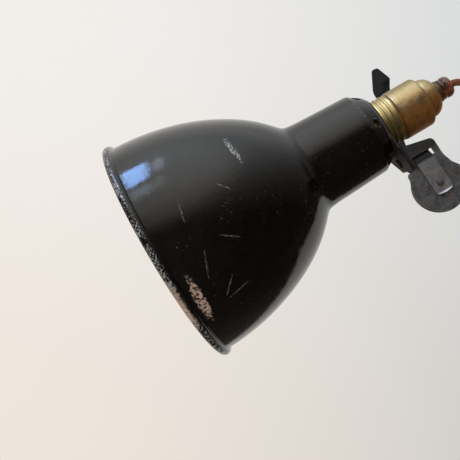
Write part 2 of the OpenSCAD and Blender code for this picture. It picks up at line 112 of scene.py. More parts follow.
# ---------------------------------------------------------------- the shade's sizes
RIM_R = 74.6
NECK_R = 30.2
BEAD = (-1, 3)  # the rolled rim's x and radius
NECK_END = (147.5, 27.4)
TOP = (156, 21.8)
HOLE_R = 14.2
SHADE_WALL = 1.0
VENTS = 6
VENT_TURN = 8  # degrees from the near side to the first vent
VENT_R = 2.8
# fine scratches at random places on the near side: mm along the axis, degrees below level, half length
SCRATCHES = 6
SCRATCH_ALONG = (20, 60)
SCRATCH_BELOW = (0, 50)
SCRATCH_LONG = (2, 8)
SCRATCH_WIDTH = 0.5
# the middles of the rim's bare stretch, the beige patch and the white flecks
RIM_STRETCH = (-2.6, -58, -45)
BEIGE_PATCH = (7.4, -55.8, -47.6)
WHITE_FLECKS = (66, -55.6, 18.5)


# ---------------------------------------------------------------- mesh helpers
def add_object(name, mesh):
    made = bpy.data.objects.new(name, mesh)
    bpy.context.collection.objects.link(made)
    return made


def from_bmesh(name, bm):
    mesh = bpy.data.meshes.new(name)
    bm.normal_update()
    bm.to_mesh(mesh)
    bm.free()
    return add_object(name, mesh)


def smooth(obj, angle=32):
    obj.data.shade_smooth()
    obj.data.set_sharp_from_angle(angle=math.radians(angle))
    return obj


def modifier(obj, kind, **settings):
    made = obj.modifiers.new(kind.lower(), kind)
    for key, value in settings.items():
        setattr(made, key, value)
    return made


def freeze(obj):
    """The object's modifiers become its mesh."""
    evaluated = obj.evaluated_get(bpy.context.evaluated_depsgraph_get())
    mesh = bpy.data.meshes.new_from_object(evaluated)
    obj.modifiers.clear()
    obj.data = mesh
    return obj


def finish_piece(obj, body, slot, material, *nodes):
    """Gives a piece its material and its body, and hides the CAD nodes that it stands for."""
    obj.data.materials.clear()
    obj.data.materials.append(material)
    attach(obj, body)
    if nodes:
        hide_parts(*nodes)
    return obj


def arc(x, r, radius, start, end, steps):
    """Points of a lathe profile on a circle about (x, r), from one angle to another, in degrees."""
    angles = [math.radians(start + (end - start) * i / steps) for i in range(steps + 1)]
    return [(x + radius * math.cos(a), r + radius * math.sin(a)) for a in angles]


def spun(name, profile, segments=160, space=None, wobble=None):
    """A closed profile of (x, r) points turned about the X axis of a space. wobble(x, r, angle) changes r."""
    space = space or LAMP
    bm = bmesh.new()
    rings = []
    for k in range(segments):
        angle = 2 * math.pi * k / segments
        ring = []
        for x, r in profile:
            radius = wobble(x, r, angle) if wobble else r
            at = Vector((x, -radius * math.cos(angle), radius * math.sin(angle)))
            ring.append(bm.verts.new(space @ at))
        rings.append(ring)
    count = len(profile)
    for k in range(segments):
        one, two = rings[k], rings[(k + 1) % segments]
        for i in range(count):
            j = (i + 1) % count
            bm.faces.new((one[i], one[j], two[j], two[i]))
    bmesh.ops.remove_doubles(bm, verts=bm.verts[:], dist=1e-7)
    bmesh.ops.dissolve_degenerate(bm, edges=bm.edges[:], dist=1e-8)
    bmesh.ops.recalc_face_normals(bm, faces=bm.faces[:])
    return smooth(from_bmesh(name, bm))


def corner(before, at, after, radius, steps=6):
    """The points that round the corner `at`."""
    a = (before - at).normalized()
    b = (after - at).normalized()
    half = math.acos(max(-1, min(1, a.dot(b)))) / 2
    centre = at + (a + b).normalized() * radius / math.sin(half)
    first = at + a * radius / math.tan(half) - centre
    sweep = first.angle_signed(at + b * radius / math.tan(half) - centre)
    turns = [Matrix.Rotation(-sweep * i / steps, 2) for i in range(steps + 1)]
    return [centre + turn @ first for turn in turns]


def rounded(knots, closed=False, steps=6):
    """Knots are (u, v, radius); a closed outline rounds them all, and an open path keeps its ends."""
    at = [Vector(k[:2]) for k in knots]
    count = len(knots)
    points = []
    for i, knot in enumerate(knots):
        if knot[2] == 0 or (not closed and i in (0, count - 1)):
            points.append(at[i])
        else:
            points += corner(at[i - 1], at[i], at[(i + 1) % count], knot[2], steps)
    return points


def circle(u, v, radius, steps=64, start=0.0, end=360.0):
    """Points on a circle; a full one leaves out the repeated end."""
    full = abs(end - start) >= 360
    count = steps if full else steps + 1
    angles = [math.radians(start + (end - start) * i / steps) for i in range(count)]
    return [Vector((u + radius * math.cos(a), v + radius * math.sin(a))) for a in angles]


def along_path(path):
    """A function from the distance along a 2D path to its point, and the distances of its knots."""
    lengths = [0.0]
    for a, b in zip(path, path[1:]):
        lengths.append(lengths[-1] + (b - a).length)

    def at(s):
        i = max(0, min(len(path) - 2, int(np.searchsorted(lengths, s)) - 1))
        return path[i].lerp(path[i + 1], (s - lengths[i]) / (lengths[i + 1] - lengths[i]))

    return at, lengths


def sheet_metal(name, sheets, thickness, space=None, edge=0.3, segments=2):
    """Pressed sheet metal. Each sheet is (loops, cuts, mapping): flat loops of (s, w), the outline
    first and its holes after it, the values of s and of w where it bends, and what takes (s, w) to space."""
    space = space or LAMP
    whole = bmesh.new()
    for loops, cuts, mapping in sheets:
        bm = bmesh.new()
        edges = []
        for loop in loops:
            verts = [bm.verts.new((p[0], p[1], 0)) for p in loop]
            edges += [bm.edges.new((a, b)) for a, b in zip(verts, verts[1:] + verts[:1])]
        bmesh.ops.triangle_fill(bm, use_beauty=True, edges=edges)
        for axis, values in zip(((1, 0, 0), (0, 1, 0)), cuts):
            for value in values:
                everything = bm.verts[:] + bm.edges[:] + bm.faces[:]
                at = value * Vector(axis)
                bmesh.ops.bisect_plane(bm, geom=everything, plane_co=at, plane_no=axis, dist=1e-4)
        for v in bm.verts:
            v.co = space @ Vector(mapping(v.co.x, v.co.y))
        mesh = bpy.data.meshes.new("sheet")
        bm.to_mesh(mesh)
        bm.free()
        whole.from_mesh(mesh)
        bpy.data.meshes.remove(mesh)
    obj = from_bmesh(name, whole)
    modifier(obj, "SOLIDIFY", thickness=thickness * MM, offset=0, use_even_offset=True)
    modifier(obj, "BEVEL", width=edge * MM, segments=segments, limit_method="ANGLE",
             angle_limit=math.radians(50))
    freeze(obj)
    obj.data.shade_smooth()
    modifier(obj, "WEIGHTED_NORMAL", keep_sharp=True, weight=80)
    return freeze(obj)


def catmull(points, spacing):
    """A smooth line through 3D points, with a point about every spacing."""
    points = [Vector(p) for p in points]
    padded = [2 * points[0] - points[1], *points, 2 * points[-1] - points[-2]]
    line = []
    for i in range(1, len(padded) - 2):
        a, b, c, d = padded[i - 1 : i + 3]
        steps = max(1, round((c - b).length / spacing))
        for k in range(steps):
            t = k / steps
            line.append(
                0.5
                * (2 * b + (c - a) * t + (2 * a - 5 * b + 4 * c - d) * t**2 + (3 * b - a - 3 * c + d) * t**3)
            )
    return [*line, points[-1]]


def tube(name, line, radius, sides=16):
    """A tube along a line of 3D points, with a UV map of (distance along in mm, share of the way round)."""
    bm = bmesh.new()
    uv = bm.loops.layers.uv.new("weave")
    rings = []
    count = len(line)
    side = None
    travelled = [0.0]
    for i, point in enumerate(line):
        way = (line[min(i + 1, count - 1)] - line[max(i - 1, 0)]).normalized()
        if side is None:
            side = way.orthogonal().normalized()
        side = (side - way * side.dot(way)).normalized()
        other = way.cross(side)
        angles = [2 * math.pi * k / sides for k in range(sides)]
        outward = [math.cos(a) * side + math.sin(a) * other for a in angles]
        rings.append([bm.verts.new(point + radius * out) for out in outward])
        if i:
            travelled.append(travelled[-1] + (point - line[i - 1]).length / MM)
    for i in range(count - 1):
        for k in range(sides):
            j = (k + 1) % sides
            face = bm.faces.new((rings[i][k], rings[i][j], rings[i + 1][j], rings[i + 1][k]))
            places = ((i, k), (i, k + 1), (i + 1, k + 1), (i + 1, k))
            for loop, (row, column) in zip(face.loops, places):
                loop[uv].uv = (travelled[row], column / sides)
    bm.faces.new(rings[0][::-1])
    bm.faces.new(rings[-1])
    bmesh.ops.recalc_face_normals(bm, faces=bm.faces[:])
    return smooth(from_bmesh(name, bm), 60)


# ---------------------------------------------------------------- node materials
class Paint:
    """Builds one procedural material. Each method adds a node and returns what comes out of it."""

    def __init__(self, name, **constants):
        self.material = bpy.data.materials.new(name)
        self.material.use_nodes = True
        self.tree = self.material.node_tree
        self.shader = next(n for n in self.tree.nodes if n.type == "BSDF_PRINCIPLED")
        self.set(**constants)
        self.place = self.tree.nodes.new("ShaderNodeTexCoord").outputs["Object"]

    def set(self, **values):
        for key, value in values.items():
            self.feed(self.shader.inputs[key.replace("_", " ")], value)
        return self

    def feed(self, socket, value):
        if isinstance(value, bpy.types.NodeSocket):
            self.tree.links.new(value, socket)
        elif isinstance(value, tuple) and socket.type == "RGBA" and len(value) == 3:
            socket.default_value = (*value, 1)
        else:
            socket.default_value = value

    def node(self, kind, *inputs, **settings):
        made = self.tree.nodes.new("ShaderNode" + kind)
        for key, value in settings.items():
            setattr(made, key, value)
        for i, value in enumerate(inputs):
            if value is not None:
                self.feed(made.inputs[i], value)
        return made

    def math(self, operation, *values):
        return self.node("Math", *values, operation=operation).outputs[0]

    def vector(self, operation, *values):
        made = self.node("VectorMath", *values, operation=operation)
        return made.outputs["Value" if operation in ("LENGTH", "DOT_PRODUCT") else "Vector"]

    def lamp_place(self):
        """Lamp space, in mm."""
        back = LAMP.inverted()
        turn = back.to_3x3().normalized().to_euler()
        mapping = self.node("Mapping", self.place, tuple(back.translation), tuple(turn), (1 / MM,) * 3)
        return mapping.outputs[0]

    def stretched(self, place, scale):
        return self.vector("MULTIPLY", place, scale)

    def noise(self, place, scale, detail=3.0, roughness=0.55, distortion=0.0):
        made = self.node("TexNoise", place)
        made.inputs["Scale"].default_value = scale
        made.inputs["Detail"].default_value = detail
        made.inputs["Roughness"].default_value = roughness
        made.inputs["Distortion"].default_value = distortion
        return made.outputs["Fac"]

    def cells(self, place, scale, feature="F1"):
        made = self.node("TexVoronoi", place, feature=feature)
        made.inputs["Scale"].default_value = scale
        return made.outputs["Distance"]

    def ramp(self, value, low, high, start=0.0, end=1.0):
        """value from low to high becomes start to end, smoothly, and stays there beyond them."""
        made = self.node("MapRange", value, low, high, start, end, interpolation_type="SMOOTHSTEP")
        return made.outputs[0]

    def mix(self, share, one, two):
        made = self.node("Mix", share, data_type="RGBA")
        self.feed(made.inputs[6], one)
        self.feed(made.inputs[7], two)
        return made.outputs[2]

    def blend(self, share, one, two):
        made = self.node("Mix", share, None, one, two, data_type="FLOAT")
        return made.outputs[0]

    def most(self, *values):
        found = values[0]
        for value in values[1:]:
            found = self.math("MAXIMUM", found, value)
        return found

    def product(self, *values):
        found = values[0]
        for value in values[1:]:
            found = self.math("MULTIPLY", found, value)
        return found

    def bump(self, height, distance, strength=1.0, under=None):
        made = self.node("Bump")
        made.inputs["Strength"].default_value = strength
        made.inputs["Distance"].default_value = distance
        self.feed(made.inputs["Height"], height)
        if under is not None:
            self.feed(made.inputs["Normal"], under)
        return made.outputs[0]

    def patch(self, place, at, long, wide, turn, ragged, detail=0.6, soft=0.12):
        """1 in an ellipse on a spun surface round `at` in lamp space, 0 outside, with a ragged edge."""
        at = Vector(at)
        out = Vector((0, at.y, at.z)).normalized()
        axis = Vector((1, 0, 0))
        around = out.cross(axis)
        c, s = math.cos(math.radians(turn)), math.sin(math.radians(turn))
        apart = self.vector("SUBTRACT", place, tuple(at))
        lengths = (
            self.vector("DOT_PRODUCT", apart, tuple((c * axis + s * around) / long)),
            self.vector("DOT_PRODUCT", apart, tuple((c * around - s * axis) / wide)),
            self.vector("DOT_PRODUCT", apart, tuple(out / (3 * long))),
        )
        far = self.vector("LENGTH", self.node("CombineXYZ", *lengths).outputs[0])
        rough = self.math("MULTIPLY_ADD", self.noise(place, detail, 6, 0.75), ragged, -0.5 * ragged)
        return self.ramp(self.math("SUBTRACT", rough, far), -1.0, soft - 1.0)


def enamel():
    """Old black gloss enamel: chipped along the rolled rim, with bare patches, specks and fine scratches."""
    p = Paint("black_enamel")
    place = p.lamp_place()
    axes = p.node("SeparateXYZ", place)
    fine = p.noise(place, 1.1, 5, 0.7)
    coarse = p.noise(place, 0.16, 4, 0.6)
    along = axes.outputs[0]
    # the rolled rim: chipped along its crest, in longer and shorter stretches
    at_rim = p.ramp(along, 0.9, -0.9)
    stretches = p.noise(place, 0.11, 3, 0.6)
    chips = p.math("MULTIPLY_ADD", stretches, 0.34, p.noise(place, 0.8, 5, 0.7))
    rim = p.product(at_rim, p.ramp(p.math("MULTIPLY_ADD", at_rim, 0.05, chips), 0.735, 0.76))
    flaked = p.ramp(p.noise(p.stretched(place, (0.6, 1, 1)), 0.8, 4, 0.7), 0.44, 0.5)
    rubbed = p.ramp(p.noise(place, 0.5, 5, 0.7), 0.36, 0.52, 0.25, 1.0)
    rim_band = p.product(p.patch(place, RIM_STRETCH, 22, 2.3, 90, 0.9, 0.35, 0.5), rubbed)
    beige = p.product(p.patch(place, BEIGE_PATCH, 14.5, 2.9, 88, 2.6, 0.42), flaked)
    flecks = p.ramp(p.noise(place, 1.1, 5, 0.75), 0.47, 0.53)
    white = p.product(p.patch(place, WHITE_FLECKS, 9.5, 1.6, 96, 3.2, 0.5), flecks)
    marks = []
    draw = random.Random(1)
    for _ in range(SCRATCHES):
        x = draw.uniform(*SCRATCH_ALONG)
        angle = math.radians(draw.uniform(*SCRATCH_BELOW))
        at = (x, -shade_radius(x) * math.cos(angle), -shade_radius(x) * math.sin(angle))
        long = draw.uniform(*SCRATCH_LONG)
        marks.append(p.patch(place, at, long, SCRATCH_WIDTH, draw.uniform(0, 180), 2.6, 0.9))
    sparse = p.ramp(p.noise(place, 0.045, 2), 0.40, 0.60)
    specks = p.product(p.ramp(p.noise(place, 0.8, 4, 0.65), 0.675, 0.71), sparse)
    pits = p.ramp(p.noise(place, 1.9, 1, 0.5), 0.79, 0.81)
    # worn edges: the shoulder's first turn where it faces up, its second, and the lips of the vents; the second is
    # a continuous pale line, wear with a painted highlight
    upper = p.ramp(axes.outputs[2], -9, 1)
    first_turn = p.product(p.ramp(along, 146.6, 147.4), p.ramp(along, 148.3, 147.6), upper)
    # painted highlight and wear: a continuous pale line along the second turn
    last_turn = p.product(p.ramp(along, 155.2, 155.8), 0.45)
    lips = []
    for k in range(VENTS):
        turn = math.radians(VENT_TURN + 360 * k / VENTS)
        lip_at = (151.8, -24.6 * math.cos(turn), -24.6 * math.sin(turn))
        lips.append(p.patch(place, lip_at, 3.4, 3.6, 0, 0.7, 0.9))
    edge_wear_and_highlight = p.most(p.product(p.most(first_turn, *lips), p.ramp(fine, 0.54, 0.64), 0.7), last_turn)
    dotted = p.product(p.most(*marks), p.ramp(p.noise(place, 1.9, 2), 0.47, 0.60))
    pale = p.most(rim, white, p.product(p.most(specks, pits, dotted), 0.42), edge_wear_and_highlight)
    warm = p.most(beige, rim_band)
    bare = p.most(pale, warm)
    smudge = p.ramp(coarse, 0.35, 0.7)
    black = p.mix(smudge, (0.0026, 0.0024, 0.0022), (0.0050, 0.0044, 0.0038))
    silver = p.mix(fine, (0.30, 0.30, 0.29), (0.66, 0.65, 0.62))
    primer = p.mix(fine, (0.42, 0.25, 0.17), (0.74, 0.56, 0.45))
    p.set(Base_Color=p.mix(bare, black, p.mix(warm, silver, primer)))
    shine = p.blend(smudge, 0.065, 0.12)
    p.set(Roughness=p.blend(bare, shine, 0.5), Metallic=p.product(pale, 0.35))
    dust = p.noise(place, 6.0, 2, 0.5)
    wave = p.bump(coarse, 0.00035, 0.35)
    p.set(Normal=p.bump(p.math("MULTIPLY_ADD", bare, -1.0, p.product(dust, 0.05)), 0.00012, 0.9, wave))
    return p.material


def inner_enamel():
    """The shade's inside: old white enamel, a little yellow towards the neck, and painted shade deep in the neck.
    """
    p = Paint("white_enamel", Roughness=0.34)
    place = p.lamp_place()
    along = p.node("SeparateXYZ", place).outputs[0]
    stain = p.ramp(p.noise(place, 0.05, 5, 0.65), 0.4, 0.75)
    warm = p.math("MULTIPLY_ADD", p.ramp(along, 20, 140), 0.5, p.product(stain, 0.4))
    white = p.mix(warm, (0.72, 0.70, 0.63), (0.50, 0.44, 0.33))
    chip = p.product(p.ramp(p.noise(place, 0.8, 5, 0.75), 0.66, 0.69), p.ramp(along, 14, 0))
    chipped = p.mix(chip, white, (0.09, 0.07, 0.055))
    # painted shade: dark brown deep in the neck
    p.set(Base_Color=p.mix(p.ramp(along, 132, 146), chipped, (0.045, 0.022, 0.013)))
    p.set(Normal=p.bump(p.noise(place, 0.35, 4), 0.0002, 0.4))
    return p.material


def brass(name, gold, brown, low, high, shine=(0.34, 0.46), dark_from=999, smudge=None):
    """Brass with a brown patina and painted shade that grow as the height in lamp space falls from high to low,
    and painted shade along its very top.
    Past dark_from along the axis it is dark brown, and a smudge adds a dark patch and fainter stains."""
    p = Paint(name)
    place = p.lamp_place()
    height = p.node("SeparateXYZ", place).outputs[2]
    cloud = p.noise(place, 0.16, 5, 0.62)
    spots = p.noise(place, 0.75, 4, 0.6)
    turned = p.noise(p.stretched(place, (3.5, 0.12, 0.12)), 1.0, 3, 0.6)
    lean = p.math("ADD", height, p.math("MULTIPLY_ADD", cloud, 14, -7))
    # patina and painted shade: browner and darker as the height falls
    patina_and_shade = p.ramp(lean, high, low)
    patina_and_shade = p.math("MULTIPLY_ADD", p.ramp(spots, 0.45, 0.72), 0.28, patina_and_shade)
    tint = p.mix(p.ramp(turned, 0.35, 0.65), gold, tuple(0.82 * c for c in gold))
    # painted shade: the very top is darker
    tint = p.mix(p.ramp(height, 9, 15), tint, tuple(0.6 * c for c in gold))
    collar = p.ramp(p.node("SeparateXYZ", place).outputs[0], dark_from, dark_from + 0.8)
    if smudge:
        blotches = p.ramp(p.noise(place, 0.28, 5, 0.7), 0.47, 0.62)
        stains = p.product(blotches, p.ramp(height, high + 3, high - 4), 0.5)
        collar = p.most(collar, stains, p.product(p.patch(place, *smudge), 0.8))
    p.set(Base_Color=p.mix(p.product(collar, 0.85), p.mix(patina_and_shade, tint, brown), (0.085, 0.06, 0.03)))
    polish = p.blend(spots, shine[0], shine[0] + 0.1)
    p.set(Roughness=p.math("MULTIPLY_ADD", patina_and_shade, shine[1] - shine[0], polish))
    p.set(Metallic=p.ramp(patina_and_shade, 0.2, 1.0, 1.0, 0.6))
    lines = p.bump(turned, 0.00004, 0.5)
    p.set(Normal=p.bump(p.noise(place, 1.4, 3), 0.00006, 0.5, lines))
    return p.material


def blackened_steel(name, dark, light, rust, lip=None):
    """Blackened sheet steel, mottled and rust-stained, with painted shade by the bends, on the finger tab and
    where a spring enters its slot.
    A spring's lip, below the height `lip`, is worn bright and has a painted highlight."""
    p = Paint(name, Metallic=0.35, Specular_IOR_Level=0.3)
    place = p.lamp_place()
    cloud = p.noise(place, 0.22, 6, 0.68, 0.6)
    fine = p.noise(place, 1.3, 4, 0.6)
    tone = p.math("MULTIPLY_ADD", fine, 0.35, p.product(cloud, 0.75))
    colour = p.mix(p.ramp(tone, 0.38, 0.68), dark, light)
    axes = p.node("SeparateXYZ", place)
    brown = p.product(p.ramp(p.noise(place, 0.11, 4, 0.6), 0.45, 0.7), rust)
    colour = p.mix(brown, colour, (0.085, 0.045, 0.032))
    # painted shade, scaled with the rust: near black by the bend and the cheek under the shade's end, and on the
    # parts above them
    by_edge = p.most(p.ramp(axes.outputs[0], 165, 157.5), p.ramp(axes.outputs[2], -36, -31, 0.0, 0.85))
    shade_by_bend = p.product(by_edge, p.ramp(axes.outputs[2], -43, -38), rust)
    colour = p.mix(p.product(shade_by_bend, 1.4), colour, (0.012, 0.008, 0.006))
    # painted shade: the finger tab is darker
    shade_on_tab = p.ramp(axes.outputs[2], 12, 24)
    colour = p.mix(p.product(shade_on_tab, 0.72), colour, (0.010, 0.0095, 0.009))
    rough = p.blend(p.most(shade_by_bend, shade_on_tab), p.ramp(tone, 0.35, 0.7, 0.54, 0.40), 0.85)
    if lip:
        # painted shade where the spring runs into the slot
        shade_by_slot = p.ramp(axes.outputs[2], -39.4, -36.8)
        colour = p.mix(shade_by_slot, colour, (0.018, 0.016, 0.014))
        rough = p.blend(shade_by_slot, rough, 0.75)
        # worn bright lip with a painted bluish highlight
        worn = p.ramp(axes.outputs[2], lip + 0.7, lip)
        colour = p.mix(worn, colour, (0.62, 0.62, 0.66))
        rough = p.blend(worn, rough, 0.32)
    p.set(Base_Color=colour, Roughness=rough)
    dents = p.bump(cloud, 0.0004, 0.35)
    p.set(Normal=p.bump(fine, 0.00006, 0.5, dents))
    return p.material


def plain_metal(name, colour, roughness=0.35, metallic=1.0):
    p = Paint(name, Metallic=metallic)
    place = p.stretched(p.place, (1 / MM,) * 3)
    fine = p.noise(place, 1.2, 4, 0.6)
    dull = p.ramp(p.noise(place, 0.25, 4), 0.4, 0.7)
    p.set(Base_Color=p.mix(dull, colour, tuple(0.6 * c for c in colour)))
    p.set(Roughness=p.blend(dull, roughness, roughness + 0.15))
    p.set(Normal=p.bump(fine, 0.00005, 0.4))
    return p.material


def bakelite(name, dark, light, roughness=0.22):
    """Moulded phenolic plastic with a faint marbling and a handled surface."""
    p = Paint(name, Coat_Weight=0.25, Coat_Roughness=0.12)
    place = p.stretched(p.place, (1 / MM,) * 3)
    swirl = p.noise(place, 0.12, 5, 0.6, 1.6)
    p.set(Base_Color=p.mix(p.ramp(swirl, 0.38, 0.66), dark, light))
    p.set(Roughness=p.ramp(p.noise(place, 0.5, 4), 0.3, 0.75, roughness, roughness + 0.18))
    p.set(Normal=p.bump(p.noise(place, 0.9, 3), 0.00004, 0.5))
    return p.material


def ceramic():
    p = Paint("porcelain", Roughness=0.18, Coat_Weight=0.5, Coat_Roughness=0.08)
    place = p.stretched(p.place, (1 / MM,) * 3)
    dirt = p.ramp(p.noise(place, 0.3, 5, 0.65), 0.5, 0.8)
    p.set(Base_Color=p.mix(dirt, (0.78, 0.75, 0.67), (0.52, 0.46, 0.36)))
    p.set(Normal=p.bump(p.noise(place, 0.8, 2), 0.00003, 0.5))
    return p.material


def rubber():
    p = Paint("core_rubber", Roughness=0.75)
    place = p.stretched(p.place, (1 / MM,) * 3)
    p.set(Base_Color=p.mix(p.noise(place, 0.6, 4), (0.05, 0.03, 0.02), (0.12, 0.07, 0.045)))
    p.set(Normal=p.bump(p.noise(place, 2.5, 3), 0.00008, 0.7))
    return p.material


def vitrite():
    p = Paint("vitrite", Roughness=0.12, Coat_Weight=0.4)
    place = p.stretched(p.place, (1 / MM,) * 3)
    p.set(Base_Color=p.mix(p.noise(place, 0.5, 3), (0.010, 0.010, 0.016), (0.024, 0.022, 0.030)))
    p.set(Normal=p.bump(p.noise(place, 1.0, 2), 0.00005, 0.5))
    return p.material


def pearl_glass():
    """Glass frosted on its inside: it lets light through but scatters it."""
    p = Paint("pearl_glass", Transmission_Weight=0.82, IOR=1.46, Coat_Weight=0.6, Coat_Roughness=0.04)
    place = p.stretched(p.place, (1 / MM,) * 3)
    frost = p.noise(place, 2.2, 3)
    p.set(Base_Color=p.mix(frost, (0.93, 0.93, 0.90), (0.97, 0.97, 0.96)))
    p.set(Roughness=p.ramp(frost, 0.3, 0.7, 0.34, 0.46))
    return p.material


def clear_glass():
    p = Paint("stem_glass", Transmission_Weight=0.95, IOR=1.5, Base_Color=(0.94, 0.97, 0.96))
    place = p.stretched(p.place, (1 / MM,) * 3)
    p.set(Roughness=p.ramp(p.noise(place, 0.4, 3), 0.3, 0.8, 0.04, 0.12))
    return p.material


def braid():
    """Braided cotton: two sets of yarns that cross over and under, in rust brown with a darker fleck."""
    p = Paint("cord_fabric", Roughness=0.88, Sheen_Weight=0.35, Sheen_Roughness=0.4)
    uv = p.node("UVMap", uv_map="weave").outputs[0]
    axes = p.node("SeparateXYZ", uv)
    along = p.math("DIVIDE", axes.outputs[0], 1.5)
    around = p.product(axes.outputs[1], 8.0)
    yarns = []
    for sign in (1.0, -1.0):
        turn = p.math("MULTIPLY_ADD", around, sign, along)
        yarns.append(p.math("SINE", p.product(turn, math.tau)))
    over = p.ramp(p.math("SINE", p.product(along, 2 * math.tau)), -0.4, 0.4)
    height = p.blend(over, p.math("ABSOLUTE", yarns[0]), p.math("ABSOLUTE", yarns[1]))
    place = p.stretched(p.place, (1 / MM,) * 3)
    fuzz = p.noise(place, 4.0, 3, 0.7)
    dirt = p.ramp(p.noise(place, 0.12, 4), 0.35, 0.7)
    # painted shade: the yarns are darker where they dip into the weave's hollows
    yarn = p.mix(p.ramp(height, 0.1, 0.9), (0.085, 0.026, 0.011), (0.34, 0.105, 0.040))
    yarn = p.mix(p.product(dirt, 0.5), yarn, (0.12, 0.055, 0.03))
    fleck = p.ramp(p.noise(place, 0.9, 2), 0.62, 0.68)
    p.set(Base_Color=p.mix(p.product(fleck, 0.6), yarn, (0.05, 0.02, 0.012)))
    p.set(Normal=p.bump(p.math("MULTIPLY_ADD", fuzz, 0.35, height), 0.00022, 0.8))
    return p.material


def leather():
    p = Paint("tie_leather", Roughness=0.6)
    place = p.stretched(p.place, (1 / MM,) * 3)
    grain = p.cells(place, 1.6)
    worn = p.ramp(p.noise(place, 0.5, 4), 0.45, 0.75)
    p.set(Base_Color=p.mix(worn, (0.045, 0.026, 0.016), (0.13, 0.075, 0.045)))
    p.set(Normal=p.bump(grain, 0.00012, 0.6))
    return p.material


# ---------------------------------------------------------------- cord
CORD_RADIUS = 2.3
LEAD = [(9, 16.5, 70.5), (10.6, 16.5, 71.4), (12.4, 16.5, 72.2), (14.4, 16.5, 72.6), (17, 16.5, 72.6),
        (20.5, 16.5, 72), (24.5, 16.5, 70.6), (28, 16.5, 68.3), (31, 16.5, 65), (33.2, 16.5, 60.6),
        (34, 16.5, 55), (33.8, 17.3, 51.2), (33.1, 19.4, 47.9), (32.3, 22.7, 45.8), (31.9, 26.5, 45)]
TAIL = [(36.1, 26.5, -15), (35.9, 21.9, -15.9), (35.2, 18, -18.5), (34.4, 15.4, -22.4), (34, 14.5, -27),
        (34, 14.5, -31), (34, 14.5, -35)]
COIL_TURNS = 10.5
COIL_STEPS = 44
# where each turn lies in the coil's section: (along the coil's axis, outward) in strand spacings
COIL_ORDER = [(-0.5, 1), (-1.5, 1), (-1, 0), (-1.5, -1), (-0.5, -1), (0, 0), (0.5, -1), (1.5, -1),
              (1, 0), (1.5, 1), (0.5, 1)]
COIL_SPACING = (4.2, 4.0)
CROSSING = (0.86, 0.98)  # the share of each turn in which the cord moves over to its next place


def coil_line():
    """Turns wound one beside another from the top of the coil, each crossing near the tie."""
    low, high = (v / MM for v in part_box("cord_coil"))
    centre = (low + high) / 2
    middle_r = (high.z - low.z) / 2 - COIL_SPACING[1] - CORD_RADIUS
    points = []
    for i in range(round(COIL_TURNS * COIL_STEPS) + 1):
        turn, share = divmod(i / COIL_STEPS, 1)
        place = Vector(COIL_ORDER[int(turn)])
        following = Vector(COIL_ORDER[min(int(turn) + 1, len(COIL_ORDER) - 1)])
        t = max(0, min(1, (share - CROSSING[0]) / (CROSSING[1] - CROSSING[0])))
        place = place.lerp(following, t * t * (3 - 2 * t))
        radius = middle_r + place.y * COIL_SPACING[1]
        angle = math.tau * i / COIL_STEPS
        points.append((centre.x + place.x * COIL_SPACING[0], centre.y + radius * math.sin(angle),
                       centre.z + radius * math.cos(angle)))
    return points


def make_cord(material):
    lead = catmull(LEAD[:-1] + [coil_line()[0]], 2.2)
    tail = catmull([coil_line()[-1]] + TAIL[1:], 2.2)
    line = [Vector(p) * MM for p in [*lead[:-1], *[Vector(p) for p in coil_line()], *tail[1:]]]
    cord = tube("cord", line, CORD_RADIUS * MM)
    finish_piece(cord, "lamp", "cord_fabric", material, "cord_lead", "cord_coil", "cord_tail")
    length = sum((b - a).length for a, b in zip(line, line[1:]))
    print("cord length", round(length, 4))
    return cord, line, length


# ---------------------------------------------------------------- shade
def shade_radius(x):
    """The spun bowl and its neck, blended where they meet."""
    bowl = RIM_R * math.sqrt(max(0, 1 - (max(x, 0) / 112) ** 1.85))
    neck = NECK_R + (NECK_END[1] - NECK_R) * (x - 95) / (NECK_END[0] - 95)
    return (bowl + neck + math.sqrt((bowl - neck) ** 2 + 3.2**2)) / 2


def shade_profile():
    outer = [Vector((2.3 + i * 1.15, shade_radius(2.3 + i * 1.15))) for i in range(126)]
    shoulder = rounded([(*outer[-1], 0), (*NECK_END, 1.3), (*TOP, 0.7), (TOP[0], HOLE_R, 0)], steps=5)
    inner = []
    for point, after in zip(outer, outer[1:]):
        slope = (after - point).normalized()
        inner.append(point + Vector((slope.y, -slope.x)) * SHADE_WALL)
    back = [
        Vector((TOP[0] - SHADE_WALL, HOLE_R)),
        Vector((TOP[0] - SHADE_WALL, TOP[1] - 0.5)),
        Vector((NECK_END[0] - 0.5, NECK_END[1] - SHADE_WALL)),
    ]
    bead = arc(BEAD[0], RIM_R, BEAD[1], -20, -354, 36)
    return [tuple(p) for p in outer[:-1] + shoulder + back + inner[:0:-1]] + bead


def out_of_round(x, r, angle):
    """A spun and handled shade is nowhere quite round."""
    if r < 15:
        return r
    return r + 0.10 * math.sin(2 * angle + x / 31) + 0.06 * math.sin(5 * angle - x / 19) * math.sin(x / 13)


def cylinder(name, at, way, radius, length, sides=32):
    bm = bmesh.new()
    bmesh.ops.create_cone(bm, cap_ends=True, segments=sides, radius1=radius, radius2=radius, depth=length)
    turn = Vector(way).to_track_quat("Z", "Y").to_matrix().to_4x4()
    bmesh.ops.transform(bm, matrix=LAMP @ Matrix.Translation(at) @ turn, verts=bm.verts[:])
    return from_bmesh(name, bm)


def cut(obj, cutters):
    for cutter in cutters:
        modifier(obj, "BOOLEAN", object=cutter, solver="EXACT")
    freeze(obj)
    for cutter in cutters:
        bpy.data.objects.remove(cutter)
    return obj


